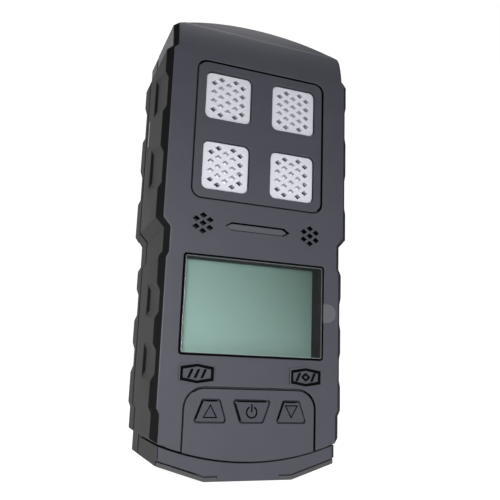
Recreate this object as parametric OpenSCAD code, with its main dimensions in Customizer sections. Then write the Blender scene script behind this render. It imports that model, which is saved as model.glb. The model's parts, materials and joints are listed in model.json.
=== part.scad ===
// Four-gas detector in a stepped hand-held case.
// +Z is up, the display faces -Y, and the origin is the middle of the flat base.

/* [Case] */
// Height from the flat base to the crown
case_h = 139.2; // [138.8:0.1:140]
// Front face to rear face, without the belt clip
case_d = 36; // [36:0.5:37]
// Half width of the head at its raised pads
head_half = 30.7; // [30.6:0.1:31]
// Half width of the grip at its raised pads
grip_half = 29.1; // [29:0.1:29.4]
// Radius of the arched top
crown_r = 73; // [72:0.5:76]
// Thickness of the side walls
wall = 2.6; // [2.5:0.1:2.7]
// Thickness of the front wall
front_wall = 2.2; // [2.1:0.1:2.4]
// Depth from the front face to the joint between the shells
split_depth = 24.6; // [24:0.2:25.2]
// Depth of the scooped pads in the sides
pad_scoop = 0.85; // [0.6:0.05:1]

/* [Bottom cap] */
// Radius of the curved seam above the cap
seam_r = 76; // [74:0.5:80]
// Height of that seam in the middle
seam_z = 5.2; // [5:0.1:5.6]
// Gap that shows along the seam
seam_gap = 0.5; // [0.3:0.1:0.6]
// Thickness of the base plate
plate_t = 1.2; // [1.1:0.1:1.4]

/* [Gas sensors] */
// Sideways distance between sensor centres
sensor_pitch_x = 21.7; // [21.4:0.1:21.8]
// Height between sensor centres
sensor_pitch_z = 22.2; // [22:0.1:22.4]
// Height of the middle of the sensor group
sensor_z = 100.4; // [100:0.1:100.8]
// Diameter of one gas cell
cell_d = 20; // [19.6:0.1:20.2]
// Length of one gas cell
cell_l = 16.6; // [16:0.1:16.8]
// Side of a square window in the sensor cover
window_w = 14.9; // [14.6:0.1:15.2]
// Sideways pitch of the grille holes
grille_pitch_x = 2.3; // [2.2:0.05:2.4]
// Upright pitch of the grille holes
grille_pitch_z = 2.88; // [2.8:0.02:3]

/* [Display] */
// Half width of the display opening
view_half = 22.14; // [22:0.02:22.3]
// Lower edge of the display opening
view_z0 = 33.6; // [33.4:0.1:34]
// Upper edge of the display opening
view_z1 = 62.1; // [61.8:0.1:62.4]
// Depth of the liquid-crystal panel behind the front face
lcd_depth = 5.7; // [5.5:0.1:5.9]

/* [Keys] */
// Height of the middle of the keys
key_z = 18.65; // [18.5:0.05:18.8]
// Height of a key
key_h = 6.5; // [6.2:0.1:6.8]
// Travel of a key
key_travel = 0.6; // [0.4:0.05:0.6]
// Gap round a key and round the panels
key_gap = 0.35; // [0.3:0.05:0.4]

/* [Belt clip] */
// Height of the clip's hinge pin
hinge_z = 112; // [111:0.5:113]
// Distance of the pin behind the rear face
hinge_off = 6; // [6:0.1:6.2]
// Radius of the pin
pin_r = 1.25; // [1.2:0.05:1.3]
// Half width of the clip arm
arm_half = 9.5; // [9:0.1:9.6]

/* [Hidden] */
$fn = 48;

half_d = case_d / 2;
split_y = split_depth - half_d;
front_in = front_wall - half_d;
rear_in = half_d - wall;
slack = 0.04;
skin = 1;

flat_half = 13;
band_half = 26.5;
band_z = 4.3;
neck_half = 28.1;
top_half = 28.9;
shoulder_z0 = 69;
shoulder_z1 = 71.8;
grip_z0 = 11.2;
top_z0 = 124.1;
top_z1 = 125.6;
foot_edge = 26.4;
grip_edge = grip_half - 1.9;
neck_edge = 26.45;
head_edge = head_half - 2;
top_edge = top_half - 1.5;
forehead_z = 122;
forehead_r = 34.4;
rear_chamfer = 2.8;
top_chamfer = 4.5;
base_chamfer = 1.5;
// Side scoops: floor from and to, upward slant in degrees, inner end behind the front face
front_scoops = [[105.6, 114.2, 14, 15.1], [81.9, 90.7, 14, 15.1],
                [44.9, 50.7, 6, 13.5], [28, 34.2, 3.5, 13.5]];
rear_scoops = [[107, 115.8], [84.9, 92.9], [46.4, 52.9], [30.3, 35.6]];
scoop_slope = 2.2;

cover_half = 20.86;
cover_z0 = 79;
cover_z1 = 122;
cover_t = 1.6;
window_h = 15.2;
light_z = 71.3;
speaker_x = 17.1;
speaker_z = 71.2;
speaker_step_x = 2.05;
speaker_step_z = 2.35;
panel_half = 19.6;
panel_top = 24.8;
panel_corner = 5.6;
panel_t = 1.6;
opening_half = 18;
opening_z0 = 12;
opening_z1 = 23.3;
board_y = -7.2;
board_t = 1.6;
switch_h = 3.3;
sensor_board_y = 4;
grille_back = -15.3;
cell_front = -13.4;
boss_spots = [[24.6, 126], [24.6, 78], [22.3, 14.5]];
side_key_x = 12.2;
base_screw_x = 11.2;
tab_half = 9.2;
contact_y = -8;
contact_xs = [-6, -2, 2, 6];
motor_y = rear_in - 4.5;
motor_z = 128;
hinge_y = half_d + hinge_off;
clip_plate_t = 2.2;
clip_screw_x = 10.5;
clip_screw_zs = [101.5, 121];
ear_x0 = arm_half + 0.4;
ear_x1 = arm_half + 2.9;
lanyard_r = 0.85;
lanyard_x = lanyard_r + 0.1 - head_half;
lanyard_y = 4.95;
lanyard_z0 = 99.7;
lanyard_z1 = 108.7;
film_y = -half_d - 0.1;
lens_y = -half_d - 0.02;
lens_back = -16.8;
lcd_y = lcd_depth - half_d;

// Key outlines as X-Z paths about the middle height: a side key, then the middle one
side_key = [[-4.95, -key_h / 2], [4.95, -key_h / 2], [2.75, key_h / 2], [-2.55, key_h / 2]];
power_key = [[-3.6, -key_h / 2], [3.6, -key_h / 2], [5.95, key_h / 2], [-5.95, key_h / 2]];

dark_grey = "#45464c";
side_grey = "#525254";
white_cap = "#d8d8dc";

// ---- points and flat shapes ------------------------------------------------------------

function unit(v) = v / norm(v);

// Arc that rounds corner b of the path a, b, c
function fillet(a, b, c, r, n) =
    let (u = unit(a - b), v = unit(c - b), half = acos(u * v) / 2,
         m = b + unit(u + v) * r / sin(half), s = b + u * r / tan(half),
         e = b + v * r / tan(half))
    [for (i = [0:n]) m + unit((s - m) * (1 - i / n) + (e - m) * i / n) * r];

// Closed path with every corner rounded
function rounded(path, r, n = 5) =
    let (k = len(path))
    [for (i = [0:k - 1]) each fillet(path[(i + k - 1) % k], path[i], path[(i + 1) % k], r, n)];

// Same path turned over in X, wound the other way
function flipped(path) = [for (i = [len(path) - 1:-1:0]) [-path[i][0], path[i][1]]];

// Right side of the case outline, from the base up, g inside the skin
function side_path(g) = [
    [flat_half, g], [band_half - g, band_z + 0.73 * g],
    [band_half - g, grip_z0 - 1.1], [grip_half - 0.8 - g, grip_z0],
    [grip_half - 0.8 - g, 17.6], [grip_half - g, 19.2], [grip_half - g, 60.5],
    [neck_half - g, 62.2], [neck_half - g, shoulder_z0], [head_half - g, shoulder_z1],
    [head_half - g, top_z0], [top_half - g, top_z1], [top_half - g, case_h]];

module outline(g = 0) {
    intersection() {
        polygon(concat(side_path(g), flipped(side_path(g))));
        translate([0, case_h - crown_r]) circle(r = crown_r - g, $fn = 96);
    }
}

module disc_at(p, r) { translate(p) circle(r = r); }

module rounded_rect(half_w, z0, z1, r) {
    translate([-half_w, z0 + r]) square([2 * half_w, z1 - z0 - 2 * r]);
    translate([-half_w + r, z0]) square([2 * half_w - 2 * r, z1 - z0]);
    for (x = [-half_w + r, half_w - r], z = [z0 + r, z1 - r]) disc_at([x, z], r);
}

module rhombus(a, b) { polygon([[-a, 0], [0, -b], [a, 0], [0, b]]); }

// Region under the curved seam, lowered by g
module below_seam(g = 0) {
    difference() {
        translate([-40, -5]) square([80, 17.4]);
        translate([0, seam_z - g + seam_r]) circle(r = seam_r, $fn = 96);
    }
}

// ---- directions of extrusion -------------------------------------------------------------

// Flat X-Z shape carried from y0 to y1
module along_y(y0, y1) { translate([0, y1, 0]) rotate([90, 0, 0]) linear_extrude(y1 - y0) children(); }

// Flat Y-Z shape carried across the case
module along_x(half) { translate([-half, 0, 0]) rotate([90, 0, 90]) linear_extrude(2 * half) children(); }

// Flat Y-Z shape carried from x0 to x1
module along_x_between(x0, x1) {
    translate([x0, 0, 0]) rotate([90, 0, 90]) linear_extrude(x1 - x0) children();
}

module rod_y(x, z, y0, y1, r) { translate([x, y0, z]) rotate([-90, 0, 0]) cylinder(h = y1 - y0, r = r); }

module rod_x(y, z, x0, x1, r) { translate([x0, y, z]) rotate([0, 90, 0]) cylinder(h = x1 - x0, r = r); }

module box(a, b) { translate(a) cube(b - a); }

module both_sides() {
    children();
    mirror([1, 0, 0]) children();
}

// ---- case body ---------------------------------------------------------------------------

// Side view, with the rounded forehead and the rear chamfers, g inside the skin
module side_view(g = 0) {
    difference() {
        union() {
            translate([g - half_d, -skin]) square([case_d - 2 * g, forehead_z + skin]);
            intersection() {
                translate([forehead_r - half_d, forehead_z]) circle(r = forehead_r - g, $fn = 96);
                translate([-half_d, forehead_z]) square([case_d - g, case_h - forehead_z + skin]);
            }
        }
        top = half_d + case_h - top_chamfer - 1.4 * g;
        polygon([[top - case_h - 2, case_h + 2], [half_d + 2, top - half_d - 2], [half_d + 2, case_h + 2]]);
        polygon([[half_d - base_chamfer - 2, -2], [half_d + 2, -2], [half_d + 2, base_chamfer + 2]]);
    }
}

// How far the rounded forehead falls back at a height
function fall_back(z) = z < forehead_z ? 0 : forehead_r - sqrt(forehead_r ^ 2 - (z - forehead_z) ^ 2);

// Where the 45 degree cut meets the front face, as X and height from the base up
function edge_path() = [
    [foot_edge, -5], [foot_edge, 17.7], [grip_edge, 19], [grip_edge, 60.3], [neck_edge, 61.7],
    [neck_edge, shoulder_z0 + 0.2], [head_edge, shoulder_z1], [head_edge, top_z0],
    for (z = [top_z1 : 2.5 : case_h + 2.5]) [top_edge - fall_back(z), z]];

// The 45 degree cut along the front edge, carried along the direction halfway between +X and +Y
module front_cut() {
    path = [for (p = edge_path()) [(p[0] + half_d) / sqrt(2), p[1]]];
    rotate([0, 0, -45]) along_y(-20, 60) polygon(concat(path, [[60, case_h + 2.5], [60, -5]]));
}

// Sloping cut along a rear edge, between two heights
module rear_cut(half, z0, z1) {
    translate([0, 0, z0]) linear_extrude(z1 - z0)
        polygon([[half, half_d - rear_chamfer], [half + 3, half_d - rear_chamfer - 3],
                 [half + 3, half_d + 2], [half - 5.5, half_d + 2]]);
}

// Shallow scoop in a side pad between two heights, turned about the front edge, with sloping ends
module scoop(half, z0, z1, slant, y0, y1, lead) {
    d = pad_scoop;
    rise = scoop_slope * (d + 2);
    intersection() {
        translate([0, -half_d, (z0 + z1) / 2]) rotate([slant, 0, 0]) translate([0, 0, -(z0 + z1) / 2])
            along_y(-5, case_d + 8) polygon([[half - d, z0], [half + 2, z0 - rise],
                                             [half + 2, z1 + rise], [half - d, z1]]);
        translate([0, 0, z0 - 12]) linear_extrude(z1 - z0 + 28)
            polygon([[half - d, y0], [half + 2, y0], [half + 2, y1 + 3 * lead], [half - d, y1]]);
    }
}

function pad_half(z) = z > shoulder_z1 ? head_half : grip_half;

module case_cuts() {
    front_cut();
    rear_cut(head_half, shoulder_z1 - 1.4, case_h + 1);
    rear_cut(grip_half, -skin, shoulder_z1 - 1.4);
    for (q = front_scoops)
        scoop(pad_half(q[0]), q[0], q[1], q[2], -half_d - 2, q[3] - half_d, 1);
    for (q = rear_scoops)
        scoop(pad_half(q[0]), q[0], q[1], 0, half_d + 2, split_y + 4, -1);
}

module case_body() {
    difference() {
        intersection() {
            along_y(-half_d, half_d) outline();
            along_x(head_half + skin) side_view();
        }
        both_sides() case_cuts();
    }
}

module cavity() {
    difference() {
        intersection() {
            along_y(front_in, rear_in) outline(wall);
            along_x(head_half) side_view(front_wall);
        }
        along_y(-half_d, split_y + 2) below_seam(-2);
    }
}

// Ring in the outline between two depths inside the skin
module rim(g0, g1, y0, y1) {
    along_y(y0, y1) difference() {
        outline(g0);
        outline(g1);
    }
}

module boss(x, z, y0, y1, r) {
    rod_y(x, z, y0, y1, r);
    rod_y(-x, z, y0, y1, r);
}

// ---- front ------------------------------------------------------------------------------

module sensor_spots() {
    for (x = [-1, 1], z = [1, -1])
        translate([x * sensor_pitch_x / 2, 0, sensor_z + z * sensor_pitch_z / 2]) children();
}

module at_sensor(i) {
    x = i % 2 == 1 ? -1 : 1;
    z = i < 3 ? 1 : -1;
    translate([x * sensor_pitch_x / 2, 0, sensor_z + z * sensor_pitch_z / 2]) children();
}

// Seven diamond sound holes round (x, speaker_z)
module sound_holes(x) {
    for (c = [-1:1], r = [-1:1])
        if (c == 0 || r < 1)
            translate([x + c * speaker_step_x, speaker_z + (r + abs(c) / 2) * speaker_step_z])
                rhombus(1.15, 0.9);
}

module light_slot(g) {
    polygon([[-10.3 + 2 * g, 0], [-8.4 + g, g - 1.25], [8.4 - g, g - 1.25],
             [10.3 - 2 * g, 0], [8.4 - g, 1.25 - g], [-8.4 + g, 1.25 - g]]);
}

module panel_shape(g = 0) {
    difference() {
        union() {
            translate([-panel_half + g, 0]) square([2 * (panel_half - g), panel_top - panel_corner]);
            translate([-panel_half + panel_corner, 0])
                square([2 * (panel_half - panel_corner), panel_top - g]);
            for (x = [-1, 1])
                disc_at([x * (panel_half - panel_corner), panel_top - panel_corner], panel_corner - g);
        }
        below_seam();
    }
}

// Raised frame with a peaked top and bottom
module badge_ring(g0, g1) {
    difference() {
        badge_shape(g0);
        badge_shape(g1);
    }
}

module badge_shape(g) {
    polygon([[-5.2 + g, -2.3 + g], [0, -3.05 + g], [5.2 - g, -2.3 + g],
             [5.2 - g, 2.3 - g], [0, 3.05 - g], [-5.2 + g, 2.3 - g]]);
}

// Slanted bar of a badge
module slant(x) { translate([x, 0]) polygon([[-0.9, -1.25], [-0.2, -1.25], [0.9, 1.25], [0.2, 1.25]]); }

module badge_left() {
    badge_ring(0, 0.4);
    badge_ring(0.8, 1.15);
    for (x = [-1.9, 0, 1.9]) slant(x);
}

module badge_right() {
    badge_ring(0, 0.4);
    badge_ring(0.8, 1.15);
    for (x = [-2.4, 2.4]) slant(x);
    difference() {
        rhombus(1.5, 1.3);
        rhombus(0.7, 0.6);
    }
}

// Thickening inside the left wall behind the lanyard slot
module lanyard_block(y0, y1) {
    box([2.3 - head_half, y0, lanyard_z0 - 1.8], [5.2 - head_half, y1, lanyard_z1 + 1.8]);
}

module front_shell() {
    color(dark_grey) difference() {
        union() {
            difference() {
                intersection() {
                    case_body();
                    box([-40, -half_d - 1, -1], [40, split_y, case_h + 1]);
                }
                cavity();
            }
            for (p = boss_spots) boss(p[0], p[1], front_in - 0.5, split_y, 2.5);
            lanyard_block(1.8, split_y);
            along_y(-half_d - 0.3, 0.5 - half_d) {
                translate([-16.6, 28.6]) badge_left();
                translate([16.5, 28.6]) badge_right();
            }
        }
        along_y(-half_d - 1, split_y + 1) below_seam();
        rim(-1, 0.9, split_y - 0.35, split_y + 1);
        box([-40, 3.5, lanyard_z0], [3.3 - head_half, split_y + 1, lanyard_z1]);
        lanyard_pin();
        for (p = boss_spots) boss(p[0], p[1], -3, split_y + 1, 1.05);
        along_y(-half_d - 1, cover_t - half_d) rounded_rect(cover_half + key_gap, cover_z0 - key_gap,
                                                            cover_z1 + key_gap, 3.2);
        along_y(-half_d - 1, front_in + 1) {
            rounded_rect(cover_half - 1.4, cover_z0 + 1.6, cover_z1 - 1.6, 2);
            rounded_rect(view_half, view_z0, view_z1, 1);
            rounded_rect(opening_half, opening_z0, opening_z1, 1);
            translate([0, light_z]) light_slot(0);
            for (x = [-speaker_x, speaker_x]) sound_holes(x);
        }
        along_y(-half_d - 1, panel_t - half_d) panel_shape(-key_gap);
    }
}

module sensor_cover() {
    color(dark_grey) difference() {
        along_y(-half_d, cover_t - half_d) rounded_rect(cover_half, cover_z0, cover_z1, 3);
        sensor_spots() along_y(-half_d - 1, 1 - half_d + cover_t)
            rounded_rect(window_w / 2, -window_h / 2, window_h / 2, 2);
    }
}

module grille_hole_grid() {
    for (c = [-2:2], r = [0:4])
        if (c % 2 != 0 || r < 4)
            translate([c * grille_pitch_x, (r - (c % 2 != 0 ? 2 : 1.5)) * grille_pitch_z])
                rhombus(1.05, 0.82);
}

module sensor_grille(i) {
    color(white_cap) at_sensor(i) difference() {
        union() {
            along_y(0.8 - half_d, grille_back)
                rounded_rect(window_w / 2 - 0.25, 0.25 - window_h / 2, window_h / 2 - 0.25, 1.8);
            along_y(cover_t - half_d + slack, grille_back)
                rounded_rect(8.4, -8.6, 8.6, 2);
        }
        along_y(-half_d, grille_back + 1) grille_hole_grid();
    }
}

module sensor_filter(i) {
    color("white") at_sensor(i) rod_y(0, 0, grille_back, grille_back + 0.4, 5);
}

module sensor_gasket() {
    color("#26262a") difference() {
        along_y(grille_back, cell_front) rounded_rect(21.6, 78.6, 122.2, 3);
        sensor_spots() rod_y(0, 0, -20, 0, 7.6);
    }
}

module gas_sensor(i) {
    color("#e6e4dc") at_sensor(i) {
        rod_y(0, 0, cell_front, cell_front + cell_l, cell_d / 2);
        for (a = [90, 210, 330])
            rod_y(6.4 * cos(a), 6.4 * sin(a), cell_front + cell_l - 0.5, sensor_board_y, 0.75);
    }
}

module sensor_board() {
    color("#1f5a38") box([-21.8, sensor_board_y, 80], [21.8, sensor_board_y + board_t, 123.5]);
}

// ---- display ------------------------------------------------------------------------------

module display_lens() {
    color("#dfe8e6", 0.3) along_y(lens_y, lens_back)
        rounded_rect(view_half - 0.12, view_z0 + 0.12, view_z1 - 0.12, 0.9);
}

module screen_film() {
    color("#f0f4f4", 0.3) along_y(film_y, lens_y) {
        rounded_rect(view_half - 0.6, view_z0 + 0.6, view_z1 - 0.6, 0.8);
        translate([view_half - 2, 45]) square([3.4, 5.6]);
        disc_at([view_half + 1.4, 47.8], 2.8);
    }
}

module display_frame() {
    color("#15161a") difference() {
        union() {
            along_y(lens_back, lcd_y)
                rounded_rect(view_half - 0.12, view_z0 + 0.12, view_z1 - 0.12, 0.9);
            along_y(front_in, lcd_y) rounded_rect(24, view_z0 - 1.7, view_z1 + 1.7, 1.2);
        }
        along_y(-half_d, 0) rounded_rect(21, view_z0 + 0.7, view_z1 - 0.7, 0.4);
    }
}

module lcd_panel() {
    color("#77908a") box([-23.2, lcd_y, view_z0 - 1], [23.2, lcd_y + 2, view_z1 + 1]);
}

module backlight() {
    color("#e9ece6") box([-23.2, lcd_y + 2, view_z0 - 1], [23.2, board_y, view_z1 + 1]);
}

// ---- light and sound -----------------------------------------------------------------------

module light_bar() {
    color("#4c4d53") {
        along_y(0.6 - half_d, front_in + 1.2) translate([0, light_z]) light_slot(0.3);
        along_y(front_in, front_in + 1.2) rounded_rect(10.9, light_z - 2.2, light_z + 2.2, 1);
    }
}

module alarm_leds() {
    color("#f2f0e4") for (x = [-6.5, 0, 6.5])
        box([x - 1.4, front_in + 1.2, light_z - 1], [x + 1.4, front_in + 2.8, light_z + 1]);
}

module led_board() {
    color("#1f5a38") box([-10, front_in + 2.8, light_z - 2.4], [10, front_in + 3.8, light_z + 2.4]);
}

module speaker_mesh(x) { color("#1b1b1e") rod_y(x, speaker_z, front_in, front_in + 0.3, 4.8); }

module buzzer(x) {
    color("#202124") difference() {
        rod_y(x, speaker_z, front_in + 0.3, front_in + 6.3, 6);
        rod_y(x, speaker_z, front_in - 1, front_in + 2, 1.2);
    }
}

// ---- keys -----------------------------------------------------------------------------------

// Key outline grown by about g all round
module key_shape(path, g) {
    grown = [for (p = path) [p[0] * (1 + g / 4), p[1] * (1 + g / 3.2)]];
    polygon(rounded(grown, 0.75));
}

module at_key(x) { translate([x, key_z]) children(); }

module all_keys(g) {
    at_key(-side_key_x) key_shape(side_key, g);
    at_key(0) key_shape(power_key, g);
    at_key(side_key_x) mirror([1, 0]) key_shape(side_key, g);
}

module keypad_panel() {
    color(dark_grey) difference() {
        along_y(-half_d, panel_t - half_d) panel_shape(0);
        along_y(-half_d - 1, panel_t - half_d + 1) all_keys(0);
    }
}

module triangle_mark() {
    difference() {
        polygon([[-2.15, -1.9], [2.15, -1.9], [0, 1.9]]);
        polygon([[-1.6, -1.57], [1.6, -1.57], [0, 1.25]]);
    }
}

module power_mark() {
    difference() {
        disc_at([0, -0.2], 1.75);
        disc_at([0, -0.2], 1.3);
        polygon([[0, -0.2], [1.3, 2.6], [-1.3, 2.6]]);
    }
    translate([-0.22, -0.2]) square([0.44, 2.3]);
}

// Key cap with a flange behind the panel and a stem; the mark is child 0
module key(x, path, turn) {
    front = 0.15 - half_d;
    difference() {
        union() {
            along_y(front, -15.7) at_key(x) mirror([turn, 0]) key_shape(path, -key_gap);
            along_y(panel_t - half_d + 0.1, -15.7) at_key(x) mirror([turn, 0]) key_shape(path, 0.45);
            rod_y(x, key_z, -15.7, board_y - switch_h - key_travel - 0.1, 1.6);
        }
        along_y(front - 1, front + 0.25) at_key(x) children();
    }
}

module up_button() { color(dark_grey) key(-side_key_x, side_key, 0) triangle_mark(); }

module power_button() { color(dark_grey) key(0, power_key, 0) power_mark(); }

module down_button() {
    color(dark_grey) key(side_key_x, side_key, 1) rotate(180) triangle_mark();
}

module keypad_mat() {
    color("#2b2c30") difference() {
        box([-19.7, front_in, opening_z0 - 0.7], [19.7, front_in + 1.5, opening_z1 + 1.4]);
        box([-18.2, front_in - 1, opening_z0], [18.2, front_in + 0.9, opening_z1]);
        for (x = [-side_key_x, 0, side_key_x]) rod_y(x, key_z, -20, 0, 2.2);
    }
}

module tact_switches() {
    color("#3a3b40") for (x = [-side_key_x, 0, side_key_x]) {
        box([x - 3, board_y - 2.7, key_z - 3], [x + 3, board_y, key_z + 3]);
        rod_y(x, key_z, board_y - switch_h, board_y - 2.5, 1.7);
    }
}

// ---- electronics -----------------------------------------------------------------------------

module main_board() {
    color("#1f5a38") along_y(board_y, board_y + board_t)
        polygon([[-19.3, 12.5], [19.3, 12.5], [19.3, 18.6], [24.3, 18.6], [24.3, 68.5],
                 [-24.3, 68.5], [-24.3, 18.6], [-19.3, 18.6]]);
}

module board_chips() {
    y = board_y + board_t;
    color("#222326") {
        box([-6, y, 44], [6, y + 1.4, 56]);
        box([-17, y, 50], [-10, y + 1.2, 55]);
        box([10, y, 26], [18, y + 1.8, 34]);
        box([-16, y, 24], [-12, y + 1.6, 36]);
        box([6, y, 63], [14, y + 4, 67.5]);
    }
}

module battery_holder() {
    color("#2f3034") difference() {
        box([-19.2, 1.4, 18.4], [19.2, 12.8, 68.8]);
        box([-17.8, 2.8, 19.6], [17.8, 14, 67.6]);
        box([6, 4, 60], [14, 14, 70]);
    }
}

module battery() { color("#2c5f9e") box([-17.5, 2.8, 19.8], [17.5, 13.4, 67.4]); }

module battery_pad() { color("#303135") box([-15, 13.4, 24], [15, rear_in, 63]); }

// Two wires from the top of the cell over the holder to the plug on the board
module battery_lead() {
    color("#b02a24") for (x = [8.8, 11.2]) {
        translate([x, 6, 67.4]) cylinder(h = 3, r = 0.6);
        translate([x, 6, 70.4]) sphere(r = 0.6);
        rod_y(x, 70.4, -3.6, 6, 0.6);
        translate([x, -3.6, 70.4]) sphere(r = 0.6);
        translate([x, -3.6, 67.5]) cylinder(h = 2.9, r = 0.6);
    }
}

module vibration_motor() {
    color("#b9bcc0") {
        rod_x(motor_y, motor_z, -11, 7.4, 4);
        rod_x(motor_y, motor_z, 7, 8.4, 1.2);
    }
}

module motor_boot() {
    color("#26262a") difference() {
        rod_x(motor_y, motor_z, -9, 5, 4.5);
        rod_x(motor_y, motor_z, -10, 6, 4);
    }
}

module motor_weight() {
    color("#8d8f93") {
        rod_x(motor_y, motor_z, 8.5, 13, 1);
        intersection() {
            rod_x(motor_y, motor_z, 9, 13, 3.6);
            box([8, motor_y - 5, motor_z - 5], [14, motor_y + 5, motor_z]);
        }
    }
}

// ---- bottom -------------------------------------------------------------------------------

module bottom_cap() {
    front = 0.8 - half_d;
    color(dark_grey) difference() {
        along_y(front, split_y - 0.2) intersection() {
            outline(0);
            below_seam(seam_gap);
        }
        base_plate_block(front, 0);
        // Shadow gaps over the plate and at the ends of the band
        along_y(front - 1, front + 0.7) intersection() {
            translate([-40, -1]) square([80, 8]);
            difference() {
                translate([-band_half, -1]) square([2 * band_half, 8]);
                translate([0, plate_t + 0.35]) outline(0);
                translate([-tab_half, -2]) square([2 * tab_half, 10]);
            }
        }
        for (x = [0.6 - band_half, band_half - 0.3])
            box([x - 0.3, front - 1, -1], [x, front + 0.7, 20]);
        box([-tab_half, contact_y - 2.6, 0], [tab_half, contact_y + 2.6, 3.4]);
        for (x = [-base_screw_x, base_screw_x])
            translate([x, contact_y, 0]) cylinder(h = 4, r = 0.85);
    }
}

// Bottom skin of the case, plate_t thick, with a notch for the cap's tab
module base_plate_block(front, g) {
    difference() {
        along_y(front - 1 + g, split_y - 0.2) difference() {
            outline(0);
            translate([0, plate_t]) outline(0);
        }
        box([-tab_half - g, front - 2, -1], [tab_half + g, front + 1.6 + g, 4]);
        box([-40, -30, band_z + 1.3], [40, 30, 200]);
        for (x = [-40, band_half - 0.3]) box([x, -30, -1], [x + 40.3 - band_half, 30, 40]);
    }
}

module base_plate() {
    color(side_grey) difference() {
        intersection() {
            base_plate_block(0.8 - half_d, 0);
            box([0.3 - band_half, 0.85 - half_d, -1], [band_half - 0.3, split_y, 6]);
        }
        for (x = contact_xs) translate([x, contact_y, -1]) cylinder(h = 4, r = 1.5);
        for (x = [-base_screw_x, base_screw_x]) translate([x, contact_y, -1]) {
            cylinder(h = 4, r = 1);
            cylinder(h = 1.75, r = 1.7);
        }
    }
}

module base_screws() {
    color("#9a9ca0") for (x = [-base_screw_x, base_screw_x]) translate([x, contact_y, 0]) {
        difference() {
            translate([0, 0, 0.15]) cylinder(h = 0.6, r = 1.6);
            for (a = [0, 90]) rotate(a) translate([-1, -0.2, 0]) cube([2, 0.4, 0.45]);
        }
        translate([0, 0, 0.7]) cylinder(h = 3.1, r = 0.84);
    }
}

module contact_block() {
    color("#17181b") difference() {
        box([-9, contact_y - 2.4, plate_t], [9, contact_y + 2.4, 3.4]);
        for (x = contact_xs) translate([x, contact_y, 0]) cylinder(h = 4, r = 1.1);
    }
}

module charge_contacts() {
    color("#d2ae58") for (x = contact_xs) translate([x, contact_y, 0.3]) cylinder(h = 3.1, r = 1.1);
}

// ---- rear -----------------------------------------------------------------------------------

module rear_shell() {
    color(side_grey) difference() {
        union() {
            difference() {
                intersection() {
                    case_body();
                    box([-40, split_y, -1], [40, half_d + 1, case_h + 1]);
                }
                cavity();
            }
            for (p = boss_spots) boss(p[0], p[1], split_y, rear_in + 0.5, 3.6);
            lanyard_block(split_y, split_y + 1.8);
            for (z = clip_screw_zs) boss(clip_screw_x, z, 11.5, rear_in + 0.5, 2.4);
        }
        rim(0.9, 1.8, split_y - 1, split_y + 0.8);
        for (p = boss_spots) {
            boss(p[0], p[1], split_y - 1, half_d + 1, 1.35);
            boss(p[0], p[1], half_d - 4, half_d + 1, 2.5);
        }
        for (z = clip_screw_zs) boss(clip_screw_x, z, 12.5, half_d + 1, 0.85);
        along_y(half_d - 0.4, half_d + 1) rounded_rect(17, 24, 60, 2);
    }
}

module case_seal() { color("#1c1c1f") rim(0.9, 1.8, split_y, split_y + 0.8); }

// Pan-head screw with its head towards +Y
module screw_y(x, z, seat, head_r, head_h, shank_r, shank_l) {
    difference() {
        rod_y(x, z, seat, seat + head_h, head_r);
        translate([x, seat + head_h, z]) rotate([90, 0, 0]) cylinder(h = head_h / 2, r = head_r / 2, $fn = 6);
    }
    rod_y(x, z, seat - shank_l, seat, shank_r);
}

module case_screws() {
    color("#8f9196") for (p = boss_spots, s = [-1, 1])
        screw_y(s * p[0], p[1], half_d - 4, 2.3, 1.8, 1.04, 15.5);
}

module lanyard_pin() {
    color("#c4c7cb") translate([lanyard_x, lanyard_y, lanyard_z0 - 1.5])
        cylinder(h = lanyard_z1 - lanyard_z0 + 3, r = lanyard_r);
}

// ---- belt clip ---------------------------------------------------------------------------

module clip_base() {
    color("#6d7075") difference() {
        union() {
            along_y(half_d, half_d + clip_plate_t) rounded_rect(14, 97.5, 125, 3);
            both_sides() along_x_between(ear_x0, ear_x1) {
                translate([half_d + 1, hinge_z - 4]) square([hinge_off - 1, 8]);
                disc_at([hinge_y, hinge_z], 4);
            }
        }
        rod_x(hinge_y, hinge_z, -20, 20, pin_r);
        for (z = clip_screw_zs) {
            boss(clip_screw_x, z, half_d - 1, half_d + 4, 1.1);
            boss(clip_screw_x, z, half_d + 1.1, half_d + 4, 2);
        }
    }
}

module clip_screws() {
    color("#9a9ca0") for (z = clip_screw_zs, s = [-1, 1])
        screw_y(s * clip_screw_x, z, half_d + 1.1, 1.9, 1, 0.84, 5);
}

// Side view of the arm: thumb plate bent away from the case, long tongue and a hooked jaw
module arm_view() {
    front = hinge_y - 1;
    polygon([[front + 2.2, hinge_z + 13], [front + 4.2, hinge_z + 13], [front + 2, hinge_z + 3],
             [front + 2, 63.5], [front + 0.6, 62],
             [half_d + 1.6, 60.4], [half_d + 0.5, 61.2], [half_d + 0.5, 62.6], [half_d + 3, 64.6],
             [front, 67], [front, hinge_z + 3]]);
}

module clip_arm() {
    color("#7b7e83") difference() {
        union() {
            along_x(arm_half) arm_view();
            rod_x(hinge_y, hinge_z, -arm_half, arm_half, 3.1);
        }
        rod_x(hinge_y, hinge_z, -20, 20, pin_r + 0.05);
        box([-4.5, hinge_y - 4, hinge_z - 4], [4.5, hinge_y + 4, hinge_z + 4]);
        for (dz = [7, 9, 11]) rod_x(hinge_y + 1.4 + 0.22 * (dz - 3), hinge_z + dz, -8, 8, 0.4);
    }
}

module clip_pin() { color("#b4b6ba") rod_x(hinge_y, hinge_z, -ear_x1, ear_x1, pin_r); }

// Coiled part of the torsion spring, with one leg on the base
module clip_spring() {
    color("#c2c4c8") {
        for (i = [-3:3]) translate([i * 0.95, hinge_y, hinge_z]) rotate([0, 90, 0])
            rotate_extrude() translate([2, 0]) circle(r = 0.5, $fn = 24);
        rod_y(-2.85, hinge_z, half_d + clip_plate_t, hinge_y - 1.9, 0.45);
    }
}

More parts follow.
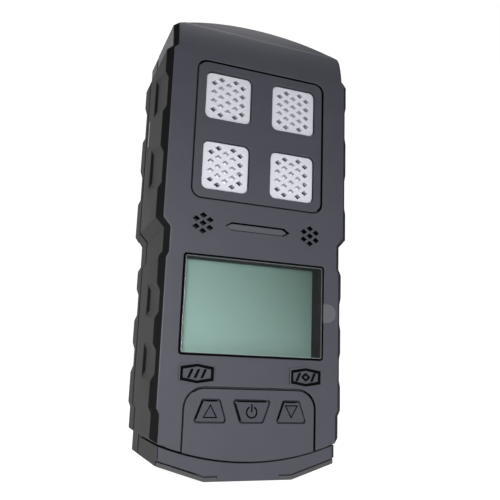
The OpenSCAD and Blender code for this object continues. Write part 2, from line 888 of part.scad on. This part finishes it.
// ---- assembly ------------------------------------------------------------------------------

front_shell();
rear_shell();
case_seal();
case_screws();
bottom_cap();
base_plate();
base_screws();
contact_block();
charge_contacts();
sensor_cover();
sensor_grille(1);  // sensor_grille_1
sensor_grille(2);  // sensor_grille_2
sensor_grille(3);  // sensor_grille_3
sensor_grille(4);  // sensor_grille_4
sensor_filter(1);  // sensor_filter_1
sensor_filter(2);  // sensor_filter_2
sensor_filter(3);  // sensor_filter_3
sensor_filter(4);  // sensor_filter_4
sensor_gasket();
gas_sensor(1);  // gas_sensor_1
gas_sensor(2);  // gas_sensor_2
gas_sensor(3);  // gas_sensor_3
gas_sensor(4);  // gas_sensor_4
sensor_board();
display_lens();
screen_film();
display_frame();
lcd_panel();
backlight();
light_bar();
alarm_leds();
led_board();
speaker_mesh(-speaker_x);  // speaker_mesh_left
speaker_mesh(speaker_x);  // speaker_mesh_right
buzzer(-speaker_x);  // buzzer_left
buzzer(speaker_x);  // buzzer_right
keypad_panel();
up_button();
power_button();
down_button();
keypad_mat();
tact_switches();
main_board();
board_chips();
battery_holder();
battery();
battery_pad();
battery_lead();
vibration_motor();
motor_boot();
motor_weight();
lanyard_pin();
clip_base();
clip_screws();
clip_arm();
clip_pin();
clip_spring();
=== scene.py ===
"""Looks of an upright four-gas detector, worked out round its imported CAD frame.

Metres, +Z up, display towards -Y. Tests on faces and edges are in millimetres.
"""
import json
import math

import bmesh
import bpy
import numpy as np
from mathutils import Matrix, Vector


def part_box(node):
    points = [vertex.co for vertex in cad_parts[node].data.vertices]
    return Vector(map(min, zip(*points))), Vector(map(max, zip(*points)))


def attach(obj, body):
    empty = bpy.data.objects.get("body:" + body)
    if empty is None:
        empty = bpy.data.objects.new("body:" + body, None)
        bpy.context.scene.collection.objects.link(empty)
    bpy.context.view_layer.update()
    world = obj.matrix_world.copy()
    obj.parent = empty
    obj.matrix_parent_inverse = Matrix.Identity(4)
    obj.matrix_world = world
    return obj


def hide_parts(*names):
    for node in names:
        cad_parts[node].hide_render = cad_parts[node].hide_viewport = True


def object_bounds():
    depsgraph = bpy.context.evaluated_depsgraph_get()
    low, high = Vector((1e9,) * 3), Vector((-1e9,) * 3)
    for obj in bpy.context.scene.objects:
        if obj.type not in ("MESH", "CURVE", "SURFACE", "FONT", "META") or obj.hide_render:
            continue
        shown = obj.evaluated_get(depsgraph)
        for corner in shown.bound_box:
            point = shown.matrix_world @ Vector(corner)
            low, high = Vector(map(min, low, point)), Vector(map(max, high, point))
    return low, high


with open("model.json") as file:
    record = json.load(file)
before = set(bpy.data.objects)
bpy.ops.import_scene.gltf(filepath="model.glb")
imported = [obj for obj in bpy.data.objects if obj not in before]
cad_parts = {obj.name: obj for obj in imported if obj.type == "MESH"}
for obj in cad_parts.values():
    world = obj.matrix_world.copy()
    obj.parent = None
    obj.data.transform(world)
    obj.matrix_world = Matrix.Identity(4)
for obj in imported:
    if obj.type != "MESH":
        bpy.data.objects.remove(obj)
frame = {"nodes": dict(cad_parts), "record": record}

MM = 0.001
cad_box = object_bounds()


def centre(name):
    """Middle of a node's box, in mm."""
    near, far = (Vector(corner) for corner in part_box(name))
    return (near + far) / (2 * MM)


# Driving places, in mm
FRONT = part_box("sensor_cover")[0][1] / MM  # the flat front
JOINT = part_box("front_shell")[1][1] / MM  # where the two shells meet
WALL_BACK = FRONT + 2.8  # behind this, edges belong to the inside of the front wall
FLANK = 25.2  # further out than this is the outer wall
CROWN, FOOT = 128, 5  # above and below these heights is the outer wall
BACK_RIM = 15.5  # behind this is the rear rim
ALARM_Z = centre("light_bar").z
LANYARD_Z = centre("lanyard_pin").z
BADGE_X, BADGE_Z = 16.55, 28.6  # middle of either badge
BADGE_HALF, BADGE_PEAK, BADGE_SLOPE = 5.2, 3.05, 0.144  # half width, half height at the peak, fall per mm
LIP = 1.5  # depth of the band behind the joint painted black as the joint's shadow


# ---- material helpers ------------------------------------------------------------------------


def linear(colour):
    """sRGB hex to linear RGBA: c / 12.92 below 0.04045, else ((c + 0.055) / 1.055) ** 2.4."""
    parts = [int(colour[i:i + 2], 16) / 255 for i in (1, 3, 5)]
    return [c / 12.92 if c <= 0.04045 else ((c + 0.055) / 1.055) ** 2.4 for c in parts] + [1.0]


def add(tree, kind, settings=None, inputs=None):
    """Adds a node with its settings, and its inputs as plain values or sockets to link from."""
    new = tree.nodes.new(kind)
    for key, value in (settings or {}).items():
        setattr(new, key, value)
    for key, value in (inputs or {}).items():
        if isinstance(value, bpy.types.NodeSocket):
            tree.links.new(value, new.inputs[key])
        else:
            new.inputs[key].default_value = value
    return new


ROUGH_SWING = 0.05  # how far the mottling moves the roughness either way


def surface(name, colour, roughness, grain_mm=0.0, grain_depth_mm=0.0, mottle=0.0, mottle_mm=12.0,
            stretch=(1, 1, 1), **shader):
    """A Principled surface: a flat colour, cloudy mottling a few mm across, and a fine moulded grain."""
    material = bpy.data.materials.new(name)
    material.use_nodes = True
    tree = material.node_tree
    tree.nodes.clear()
    place = add(tree, "ShaderNodeTexCoord").outputs["Object"]
    place = add(tree, "ShaderNodeMapping", inputs={"Vector": place, "Scale": stretch}).outputs["Vector"]
    cloud = add(tree, "ShaderNodeTexNoise", inputs={
        "Vector": place, "Scale": 1 / (mottle_mm * MM), "Detail": 4.0, "Roughness": 0.6})
    dark, light = linear(colour), linear(colour)
    dark[:3] = [c * (1 - mottle) for c in dark[:3]]
    light[:3] = [min(1.0, c * (1 + mottle)) for c in light[:3]]
    ramp = add(tree, "ShaderNodeMix", {"data_type": "RGBA"}, {
        "Factor": cloud.outputs["Fac"], "A": dark, "B": light})
    rough = add(tree, "ShaderNodeMapRange", inputs={
        "Value": cloud.outputs["Fac"], "To Min": max(0.0, roughness - ROUGH_SWING),
        "To Max": min(1.0, roughness + ROUGH_SWING)})
    inputs = {"Base Color": ramp.outputs["Result"], "Roughness": rough.outputs["Result"]}
    inputs.update({key.replace("_", " "): value for key, value in shader.items()})
    if grain_mm:
        grain = add(tree, "ShaderNodeTexNoise", inputs={
            "Vector": place, "Scale": 1 / (grain_mm * MM), "Detail": 2.0})
        bump = add(tree, "ShaderNodeBump", inputs={
            "Height": grain.outputs["Fac"], "Distance": grain_depth_mm * MM, "Strength": 0.6})
        inputs["Normal"] = bump.outputs["Normal"]
    principled = add(tree, "ShaderNodeBsdfPrincipled", inputs=inputs)
    add(tree, "ShaderNodeOutputMaterial", inputs={"Surface": principled.outputs["BSDF"]})
    return material


def polariser(name, foot_left, head_right):
    """Liquid-crystal glass with a painted sheen, paler towards one corner: part of the change runs across,
    the rest upwards.
    """
    across_share, upward_share = 0.65, 0.35
    material = surface(name, foot_left, 0.25, Coat_Weight=0.3, IOR=1.5)
    tree = material.node_tree
    place = add(tree, "ShaderNodeTexCoord").outputs["Object"]
    split = add(tree, "ShaderNodeSeparateXYZ", inputs={"Vector": place})
    near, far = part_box("lcd_panel")
    across = add(tree, "ShaderNodeMapRange", inputs={
        "Value": split.outputs["X"], "From Min": near[0], "From Max": far[0],
        "To Max": across_share})
    share = add(tree, "ShaderNodeMapRange", inputs={
        "Value": split.outputs["Z"], "From Min": near[2], "From Max": far[2],
        "To Min": across.outputs["Result"]})
    top = add(tree, "ShaderNodeMath", {"operation": "ADD"}, {0: across.outputs["Result"], 1: upward_share})
    tree.links.new(top.outputs["Value"], share.inputs["To Max"])
    blend = add(tree, "ShaderNodeMix", {"data_type": "RGBA"}, {
        "Factor": share.outputs["Result"], "A": linear(foot_left), "B": linear(head_right)})
    tree.links.new(blend.outputs["Result"], tree.nodes["Principled BSDF"].inputs["Base Color"])
    return material


# ---- materials ----------------------------------------------------------------------------------

# Satin ABS of the front: a spark-eroded mould leaves a grain about 0.3 mm across and soft highlights
front_abs = surface("abs_satin_dark_grey", "#3c3d45", 0.5, 0.35, 0.03, mottle=0.1, mottle_mm=9,
                    IOR=1.5, Specular_IOR_Level=0.33)
# The flanks of the same shell are etched coarser, so they read flatter; their darker, less blue colour is
# painted shade
flank_painted_shade = surface("abs_flank_painted_shade", "#303030", 0.7, 0.45, 0.05, mottle=0.08,
                   IOR=1.5, Specular_IOR_Level=0.18)
# Rear half, from a rougher mould
rear_abs = surface("abs_grained_grey", "#3f3f41", 0.6, 0.5, 0.05, mottle=0.06,
                   IOR=1.5, Specular_IOR_Level=0.35)
# Near black and dull on the faces that slant between front and side, darker than the ABS: painted shade
# standing in for the dark reflection they show
slant_painted_shade = surface("slant_painted_shade_black", "#08090a", 0.7, 0.5, 0.02, mottle=0.08,
                      IOR=1.5, Specular_IOR_Level=0.15)
# Black enamel wiped into the badges and key marks, and painted shade in deep gaps, at the joint, on the
# shaded rims of let-in parts and round the window: next to no highlight
ink_and_painted_shade = surface("enamel_and_painted_shade_black", "#050506", 0.85, mottle=0.05, IOR=1.5, Specular_IOR_Level=0.05)
# Silicone keys, dull and even
key_silicone = surface("silicone_key_grey", "#3b3c44", 0.55, 0.3, 0.015, mottle=0.04,
                       IOR=1.43, Specular_IOR_Level=0.3)
# Moulded nylon grilles, white with a soft sheen
grille_nylon = surface("nylon_white", "#c0c0c9", 0.5, 0.4, 0.02, mottle=0.03, mottle_mm=4, IOR=1.53)
# Expanded PTFE membrane: chalky and fibrous
membrane = surface("ptfe_membrane", "#f8f8fa", 0.9, 0.25, 0.03, mottle=0.03, mottle_mm=1.5)
# EPDM foam of seals and pads: matt black with open cells
black_foam = surface("epdm_black", "#17171a", 0.85, 0.4, 0.05, mottle=0.1, mottle_mm=3)
# Moulded polycarbonate surround, kept dull so that it doesn't mirror the display
frame_black = surface("polycarbonate_black", "#0b0c0e", 0.7, 0.4, 0.01, mottle=0.1, Specular_IOR_Level=0.15)
# Polarised liquid-crystal glass at rest: grey-green, with a painted sheen that makes it paler towards the
# foot and the left
lcd_glass = polariser("lcd_polariser_painted_sheen", "#8baba3", "#3f534b")
# Moulded acrylic light guide, milky
light_guide = surface("pmma_white", "#e8ebe6", 0.35, mottle=0.02, IOR=1.49)
# Cast acrylic window: clear, so nearly all of it is alpha
lens_clear = surface("pmma_clear_window", "#1c2224", 0.04, IOR=1.49, Alpha=0.02)
# Painted glint: a pale, half-clear colour on the innermost turn of the window's polished chamfer
lens_painted_glint = surface("pmma_chamfer_painted_glint", "#a4aead", 0.1, IOR=1.49, Alpha=0.24)
# Polyester film, and its tab, which shows over the dark case
film_clear = surface("pet_film_clear", "#a8acae", 0.12, IOR=1.57, Alpha=0.012)
film_tab = surface("pet_film_tab", "#a8acae", 0.15, mottle=0.05, mottle_mm=8, IOR=1.57, Alpha=0.07)
# Smoked polycarbonate diffuser over the alarm lamps
diffuser = surface("smoked_pc_diffuser", "#4a4b52", 0.35, 0.3, 0.01, mottle=0.04, IOR=1.58)
# Turned stainless steel: fine rings round the axis
steel = surface("stainless_steel_turned", "#a9abaf", 0.3, mottle=0.1, mottle_mm=1.2,
                stretch=(1, 1, 12), Metallic=1.0)
# Nickel-plated spring steel, brushed lengthwise
clip_steel = surface("steel_nickel_satin", "#8b8d92", 0.36, mottle=0.08, mottle_mm=1.5,
                     stretch=(14, 1, 1), Metallic=1.0)
# Gold flash on the charging contacts
gold = surface("gold_plate", "#d9b25c", 0.25, mottle=0.06, mottle_mm=1, Metallic=1.0)
# Sintered tungsten rotor weight: grainy and dull
tungsten = surface("sintered_tungsten", "#7f8084", 0.5, 0.2, 0.02, mottle=0.15, mottle_mm=0.8,
                   Metallic=1.0)
# Green solder mask over glass-epoxy board
solder_mask = surface("fr4_green_mask", "#1b5a37", 0.35, 0.8, 0.01, mottle=0.15, mottle_mm=3,
                      Coat_Weight=0.4)
# Moulded epoxy of chips, sounders and holders
epoxy = surface("epoxy_black", "#1b1c1f", 0.55, 0.15, 0.01, mottle=0.08, mottle_mm=2)
# Off-white housings of the gas cells
cell_plastic = surface("noryl_off_white", "#dcdad0", 0.45, 0.3, 0.01, mottle=0.04)
# Heat-shrunk PVC sleeve of the battery, glossy over its crinkles
shrink_wrap = surface("pvc_shrink_blue", "#2c5f9e", 0.3, mottle=0.08, mottle_mm=6, Coat_Weight=0.3)
# PVC insulation of the battery's wires
wire_red = surface("pvc_wire_red", "#a92a22", 0.4, mottle=0.05)
# White reflector housings of the alarm lamps
led_case = surface("ppa_white_led", "#ece9da", 0.4, mottle=0.03, mottle_mm=1)

FINISH = {
    "front_shell": front_abs, "bottom_cap": front_abs, "sensor_cover": front_abs,
    "keypad_panel": front_abs, "rear_shell": rear_abs, "base_plate": rear_abs,
    "up_button": key_silicone, "power_button": key_silicone, "down_button": key_silicone,
    "case_seal": black_foam, "sensor_gasket": black_foam, "keypad_mat": black_foam,
    "battery_pad": black_foam, "motor_boot": black_foam,
    "sensor_board": solder_mask, "main_board": solder_mask, "led_board": solder_mask,
    "board_chips": epoxy, "tact_switches": epoxy, "contact_block": epoxy, "battery_holder": epoxy,
    "buzzer_left": epoxy, "buzzer_right": epoxy,
    "speaker_mesh_left": black_foam, "speaker_mesh_right": black_foam,
    "display_lens": lens_clear, "screen_film": film_clear, "display_frame": frame_black,
    "lcd_panel": lcd_glass, "backlight": light_guide, "light_bar": diffuser, "alarm_leds": led_case,
    "battery": shrink_wrap, "battery_lead": wire_red, "motor_weight": tungsten,
    "charge_contacts": gold, "clip_base": clip_steel, "clip_arm": clip_steel,
    "case_screws": steel, "base_screws": steel, "lanyard_pin": steel, "clip_screws": steel,
    "clip_pin": steel, "clip_spring": steel, "vibration_motor": steel,
}
for i in range(1, 5):
    FINISH[f"sensor_grille_{i}"] = grille_nylon
    FINISH[f"sensor_filter_{i}"] = membrane
    FINISH[f"gas_sensor_{i}"] = cell_plastic


def paint(thing, *materials):
    """Gives a mesh object these materials, in slot order."""
    thing.data.materials.clear()
    for material in materials:
        thing.data.materials.append(material)


for name, thing in frame["nodes"].items():
    paint(thing, FINISH[name])

BODY = {name: body for body, names in frame["record"]["behaviour"]["bodies"].items() for name in names}


# ---- softened copies of the moulded parts -----------------------------------------------------------


def joined(name):
    """A bmesh copy of a CAD node with its triangles merged into whole faces."""
    shape = bmesh.new()
    shape.from_mesh(frame["nodes"][name].data)
    bmesh.ops.remove_doubles(shape, verts=shape.verts, dist=2e-6)
    bmesh.ops.dissolve_limit(shape, angle_limit=math.radians(0.5), verts=shape.verts, edges=shape.edges)
    return shape


def roomy(edge, width):
    """True if no edge met at the ends is shorter than the bevel needs, save the edge's own continuation."""
    in_line, shortest = 0.9, 1.7 * width
    along = (edge.verts[1].co - edge.verts[0].co).normalized()
    for vert in edge.verts:
        for other in vert.link_edges:
            if other is edge:
                continue
            way = (other.other_vert(vert).co - vert.co).normalized()
            if abs(way.dot(along)) < in_line and other.calc_length() < shortest:
                return False
    return True


def rounded_off(shape, width_mm, where, segments=3):
    """Rounds the outer edges for which where(middle in mm) holds, if they have room for the width."""
    width = width_mm * MM
    edges = [e for e in shape.edges if len(e.link_faces) == 2 and e.is_convex
             and e.calc_face_angle() > math.radians(14)
             and where((e.verts[0].co + e.verts[1].co) / (2 * MM)) and roomy(e, width)]
    bmesh.ops.bevel(shape, geom=edges, offset=width, segments=segments, profile=0.5,
                    affect="EDGES", clamp_overlap=False, material=-1)


def cut_across(shape, place, normal):
    """Divides the faces along a plane, and takes nothing away."""
    bmesh.ops.bisect_plane(shape, geom=shape.verts[:] + shape.edges[:] + shape.faces[:],
                           plane_co=place, plane_no=normal)


def finished(shape, name, *materials):
    """Turns the bmesh into a piece that stands for the CAD node."""
    mesh = bpy.data.meshes.new(f"{name}_soft")
    shape.to_mesh(mesh)
    shape.free()
    piece = bpy.data.objects.new(f"{name}_soft", mesh)
    bpy.context.scene.collection.objects.link(piece)
    paint(piece, *(materials or (FINISH[name],)))
    piece.data.polygons.foreach_set("use_smooth", np.ones(len(mesh.polygons), dtype=bool))
    mesh.set_sharp_from_angle(angle=math.radians(30))
    weighted = piece.modifiers.new("flat faces", "WEIGHTED_NORMAL")
    weighted.keep_sharp = True
    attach(piece, BODY[name])
    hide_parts(name)
    return piece


def soften(name, width_mm, where=lambda p: True, materials=(), segments=3):
    """A copy of a node with rounded edges."""
    shape = joined(name)
    rounded_off(shape, width_mm, where, segments)
    return finished(shape, name, *materials)


def zoned(piece, *tests):
    """Slot 1, 2, ... for the faces that pass the first, second, ... test.

    A test takes a face's middle in mm, its normal, and its corners in mm.
    """
    mesh = piece.data
    for polygon in mesh.polygons:
        corners = [mesh.vertices[i].co / MM for i in polygon.vertices]
        for slot, test in enumerate(tests, 1):
            if test(polygon.center / MM, polygon.normal, corners):
                polygon.material_index = slot


def slanted(p, n, corners):
    """Looks about halfway between front and side; these faces are painted near black as shade."""
    return abs(n.x) > 0.42 and n.y < -0.42


def sideways(p, n, corners):
    """The flanks, with the ledges that step between them, which take the flank colour painted as shade."""
    return abs(n.x) > 0.3 and abs(p.x) > FLANK - 1.2 and n.y > -0.5 and p.z < CROWN - 1


def upright(n):
    """A wall rather than a face towards the front or the back."""
    return abs(n.y) < 0.5


def in_front_wall(p, n, corners):
    """Walls of the openings in the front wall, painted black as their deep shade."""
    return upright(n) and 0.05 < p.y - FRONT < 3 and abs(p.x) < 26 and 3 < p.z < CROWN - 1


def badge_inset(c):
    """How far inside a badge's outline a point lies: min(half - x, peak - slope x - z) about its centre."""
    x, z = abs(abs(c.x) - BADGE_X), abs(c.z - BADGE_Z)
    return min(BADGE_HALF - x, BADGE_PEAK - BADGE_SLOPE * x - z)


def badge_line(p, n, corners):
    """The outside wall of a badge's outer ring and the walls of its bars, painted black as shade; the ditch
    inside the ring, the inner ring and the bars, filled black.
    """
    outer_ring, inner_ring = 0.3, 1.25  # how far in the inner edge of each ring lies
    insets = [badge_inset(c) for c in corners]
    if p.y > FRONT + 0.1 or min(insets) < outer_ring:
        return upright(n) and p.y < FRONT - 0.05
    return max(insets) < inner_ring or p.y < FRONT - 0.1 or upright(n)


def at_joint(p, n, corners):
    """The lips of both shells by the joint, painted black as the joint's shadow so that they show as one
    black line.
    """
    return upright(n) and all(-0.4 < c.y - JOINT < LIP + 0.01 for c in corners)


def black_line(*face):
    """Everything on the front shell that is painted black: filled badges, and painted shade on the
    openings' walls, the badges' walls and the joint.
    """
    return in_front_wall(*face) or badge_line(*face) or at_joint(*face)


def on_skin(p):
    """Outer edges of the shells: clear of the sound holes, the joint, the lanyard slot and all inside."""
    if abs(p.z - ALARM_Z) < 4.5 and abs(p.x) < 22:
        return False
    if abs(p.y - JOINT) < 0.6:
        return False
    if abs(p.z - LANYARD_Z) < 6 and p.x < -27 and 2 < p.y < 9:
        return False
    return p.y < WALL_BACK or abs(p.x) > FLANK or p.z > CROWN or p.z < FOOT or p.y > BACK_RIM


def let_in(name, material, lee, wide_mm, narrow_mm, marked=lambda p: False):
    """A part let into the front. Where lee(middle in mm) holds, its rim falls away further and is painted
    black as shade.

    marked picks the places of an engraved mark, which is filled with black.
    """
    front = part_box(name)[0][1] / MM

    def rim(p):
        return p.y < front + 0.1 and not marked(p)

    def shaded(p, n, corners):
        if marked(p):
            return front + 0.01 < p.y < front + 0.3
        return lee(p) and p.y < front + 0.45 and n.y > -0.95 and (abs(n.x) > 0.25 or n.z > 0.25)

    shape = joined(name)
    rounded_off(shape, wide_mm, lambda p: rim(p) and lee(p), 2)
    rounded_off(shape, narrow_mm, lambda p: rim(p) and not lee(p))
    zoned(finished(shape, name, material, ink_and_painted_shade), shaded)


def key(name):
    """A key with its engraved mark filled and its left and upper rim painted black as shade."""
    middle = centre(name)
    rim_left, rim_head, mark_radius = 2, 2.8, 2.72  # distances from the key's middle
    let_in(name, key_silicone, lambda p: p.x < middle.x - rim_left or p.z > middle.z + rim_head,
           wide_mm=0.4, narrow_mm=0.15, marked=lambda p: (p - middle).xz.length < mark_radius)


def rim_shade(p, n, corners):
    """The outer turns of the window's rim, painted black as the shade they lie in."""
    return -0.9 < n.y < 0.3


def rim_glint(p, n, corners):
    """The innermost turn of the window's rim, nearly flat, which takes the painted glint."""
    return -0.99 < n.y < -0.9


def front_half():
    """The front shell: painted shade on its slants, flanks and openings' walls, filled badges, and the
    joint painted black as its shadow.
    """
    zoned(soften("front_shell", 0.3, on_skin, (front_abs, slant_painted_shade, flank_painted_shade, ink_and_painted_shade)),
          slanted, sideways, black_line)


def rear_half():
    """The rear shell, divided just behind the joint so that the lip in front of the cut can be painted
    black as the joint's shadow; its slants and flanks take the same painted shade as the front shell's.
    """
    shape = joined("rear_shell")
    rounded_off(shape, 0.35, on_skin)
    cut_across(shape, (0, (JOINT + LIP) * MM, 0), (0, 1, 0))
    zoned(finished(shape, "rear_shell", rear_abs, slant_painted_shade, flank_painted_shade, ink_and_painted_shade),
          slanted, sideways, at_joint)


def foot_band():
    """The cap round the foot, rounded on its outside only, its flanks in the flank colour painted as shade.
    """
    def outer(p):
        return p.y < FRONT + 1.5 or abs(p.x) > FLANK - 0.2 or p.z < FOOT + 1

    zoned(soften("bottom_cap", 0.15, outer, (front_abs, flank_painted_shade)), sideways)


def window():
    """The clear window, its outer rim turned down by 0.7 mm, its outer turns painted black as shade and its
    innermost turn painted pale as a glint.
    """
    zoned(soften("display_lens", 0.7, lambda p: p.y < FRONT + 0.5, (lens_clear, ink_and_painted_shade, lens_painted_glint), 4),
          rim_shade, rim_glint)


def film():
    """The film, a hundredth of a millimetre off the window, and its tab beyond the window's right edge."""
    shape = joined("screen_film")
    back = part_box("screen_film")[1][1]
    for vert in shape.verts:
        if vert.co.y > back - 2e-6:
            vert.co.y -= 0.01 * MM
    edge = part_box("display_lens")[1][0]
    cut_across(shape, (edge, 0, 0), (1, 0, 0))
    zoned(finished(shape, "screen_film", film_clear, film_tab), lambda p, n, corners: p.x > edge / MM)


front_half()
rear_half()
foot_band()
soften("base_plate", 0.15)
# The cover's and the panel's right and upper rims are painted black as shade
let_in("sensor_cover", front_abs, lambda p: p.x > 19.5 or p.z > 120.5, wide_mm=0.3, narrow_mm=0.2)
let_in("keypad_panel", front_abs, lambda p: p.x > 18.9 or p.z > 23.5 or p.x + p.z > 40,
       wide_mm=0.25, narrow_mm=0.15)
for i in range(1, 5):
    soften(f"sensor_grille_{i}", 0.22)
for name in ("up_button", "power_button", "down_button"):
    key(name)
window()
soften("light_bar", 0.2)
film()
soften("clip_arm", 0.4)
soften("clip_base", 0.3)

# ---- stage, light and camera ------------------------------------------------------------------------

# Matt paper sweep that gives some light of its own, so that it reads as pure white
white = surface("paper_sweep_white", "#9a9a9a", 0.9, Emission_Color=(1, 1, 1, 1), Emission_Strength=0.92)


def sweep():
    """Floor and backdrop as one sheet: flat, then a quarter circle up, then upright."""
    half, front, back, bend, top = 3.0, -3.0, 1.6, 0.8, 3.0
    turn = np.linspace(0, math.pi / 2, 17)
    y = np.concatenate([[front], back + bend * np.sin(turn), [back + bend]])
    z = np.concatenate([[0], bend - bend * np.cos(turn), [top]])
    count = len(y)
    points = np.array([(x, b, c) for x in (-half, half) for b, c in zip(y, z)])
    faces = [(i, i + 1, i + 1 + count, i + count)[::-1] for i in range(count - 1)]
    mesh = bpy.data.meshes.new("sweep")
    mesh.from_pydata(points.tolist(), [], faces)
    thing = bpy.data.objects.new("sweep", mesh)
    bpy.context.scene.collection.objects.link(thing)
    paint(thing, white)
    mesh.polygons.foreach_set("use_smooth", np.ones(len(mesh.polygons), dtype=bool))


sweep()


def hang(lamp, place, aim, watts):
    """Puts a lamp at place, turned to aim."""
    lamp.energy = watts
    thing = bpy.data.objects.new(lamp.name, lamp)
    bpy.context.scene.collection.objects.link(thing)
    thing.location = place
    thing.rotation_euler = (Vector(aim) - Vector(place)).to_track_quat("-Z", "Y").to_euler()


def softbox(name, place, aim, size, watts):
    """A rectangular area light."""
    lamp = bpy.data.lights.new(name, "AREA")
    lamp.shape = "RECTANGLE"
    lamp.size, lamp.size_y = size
    hang(lamp, place, aim, watts)


def snoot(name, place, aim, degrees, watts):
    """A soft-edged spot."""
    lamp = bpy.data.lights.new(name, "SPOT")
    lamp.spot_size = math.radians(degrees)
    lamp.spot_blend = 1.0
    lamp.shadow_soft_size = 0.05
    hang(lamp, place, aim, watts)


middle = (0, 0, cad_box[1][2] / 2)
softbox("front_low", (-0.14, -0.42, 0.075), (0, 0, 0.01), (0.3, 0.13), 0.5)
softbox("left_box", (-0.7, 0.35, 0.25), middle, (0.4, 0.5), 0.3)
softbox("right_box", (0.8, -0.1, 0.4), middle, (0.4, 0.5), 0.8)
softbox("top_box", (0.1, -0.02, 0.75), middle, (0.5, 0.3), 1.7)
snoot("foot_spot", (-0.16, -0.42, 0.08), (-0.008, FRONT * MM, 0.012), 36, 6.0)

world = bpy.data.worlds.new("studio")
bpy.context.scene.world = world
world.use_nodes = True
world.node_tree.nodes["Background"].inputs["Color"].default_value = (1, 1, 1, 1)
world.node_tree.nodes["Background"].inputs["Strength"].default_value = 0.1

bpy.context.scene.view_settings.view_transform = "Standard"

AZIMUTH, ELEVATION, ROLL = math.radians(-20.43), math.radians(11.54), math.radians(2.1)


def camera():
    """A camera left of the display and near its foot, looking up from a hand's length away."""
    ahead = Vector((-math.sin(AZIMUTH) * math.cos(ELEVATION), math.cos(AZIMUTH) * math.cos(ELEVATION),
                    math.sin(ELEVATION)))
    side = ahead.cross(Vector((0, 0, 1))).normalized()
    side = Matrix.Rotation(-ROLL, 3, ahead) @ side
    up = side.cross(ahead)
    lens = bpy.data.cameras.new("camera")
    lens.sensor_width = 36
    lens.lens = 43.67
    lens.clip_start = 0.01
    thing = bpy.data.objects.new("camera", lens)
    bpy.context.scene.collection.objects.link(thing)
    turn = Matrix((side, up, -ahead)).transposed().to_4x4()
    thing.matrix_world = Matrix.Translation(Vector((-63.55, FRONT - 164.3, 29.0)) * MM) @ turn
    bpy.context.scene.camera = thing


camera()
